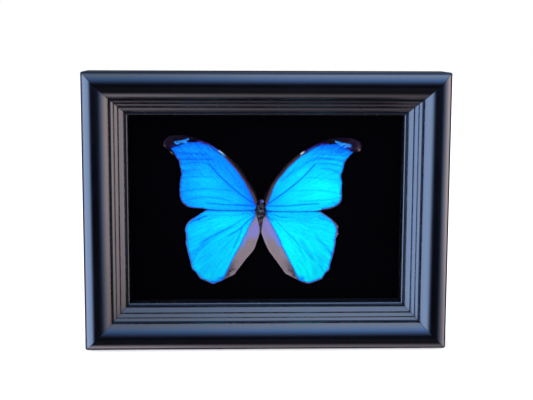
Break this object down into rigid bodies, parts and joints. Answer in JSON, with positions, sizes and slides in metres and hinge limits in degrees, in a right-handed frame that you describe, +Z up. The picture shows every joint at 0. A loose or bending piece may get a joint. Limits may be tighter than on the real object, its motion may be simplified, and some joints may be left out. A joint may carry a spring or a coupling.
{
  "type": "framed butterfly specimen",
  "caption": "Spread blue morpho butterfly on a black board behind glass, in a deep landscape picture frame of black moulded wood.",
  "frame": {"origin": "middle of the underside of the bounding box: midway across the width and the depth, at the bottom rail's outer face", "axes": "+Z up the frame, +X along its width to the right as seen from the front, +Y from the front to the back, so the butterfly faces -Y"},
  "size_m": [0.231, 0.0376, 0.1767],
  "materials": {
    "black_wood": "satin black lacquer over fine wood grain, lightly worn arrises",
    "clear_glass": "clear, polished",
    "spacer_strip": "matt black",
    "black_board": "deep black flocked board",
    "hardboard": "brown pressed hardboard, smooth face out",
    "point_steel": "zinc plated, dull",
    "hanger_brass": "brass plated, slightly tarnished",
    "insect_body": "dark brown fine hair",
    "wing_blue": "iridescent blue wing scales with darker veins, black tips and grey-brown inner margins",
    "pin_steel": "polished steel"
  },
  "bodies": {
    "root": {"rail_top": "black_wood", "rail_bottom": "black_wood", "rail_left": "black_wood", "rail_right": "black_wood", "glass_pane": "clear_glass", "spacer_top": "spacer_strip", "spacer_bottom": "spacer_strip", "spacer_left": "spacer_strip", "spacer_right": "spacer_strip", "display_board": "black_board", "backing_board": "hardboard", "point_top_left": "point_steel", "point_top_right": "point_steel", "point_bottom_left": "point_steel", "point_bottom_right": "point_steel", "point_left": "point_steel", "point_right": "point_steel", "sawtooth_hanger": "hanger_brass", "hanger_nail_left": "hanger_brass", "hanger_nail_right": "hanger_brass", "butterfly_body": "insect_body", "forewing_left": "wing_blue", "forewing_right": "wing_blue", "hindwing_left": "wing_blue", "hindwing_right": "wing_blue", "specimen_pin": "pin_steel"}
  },
  "joints": []
}
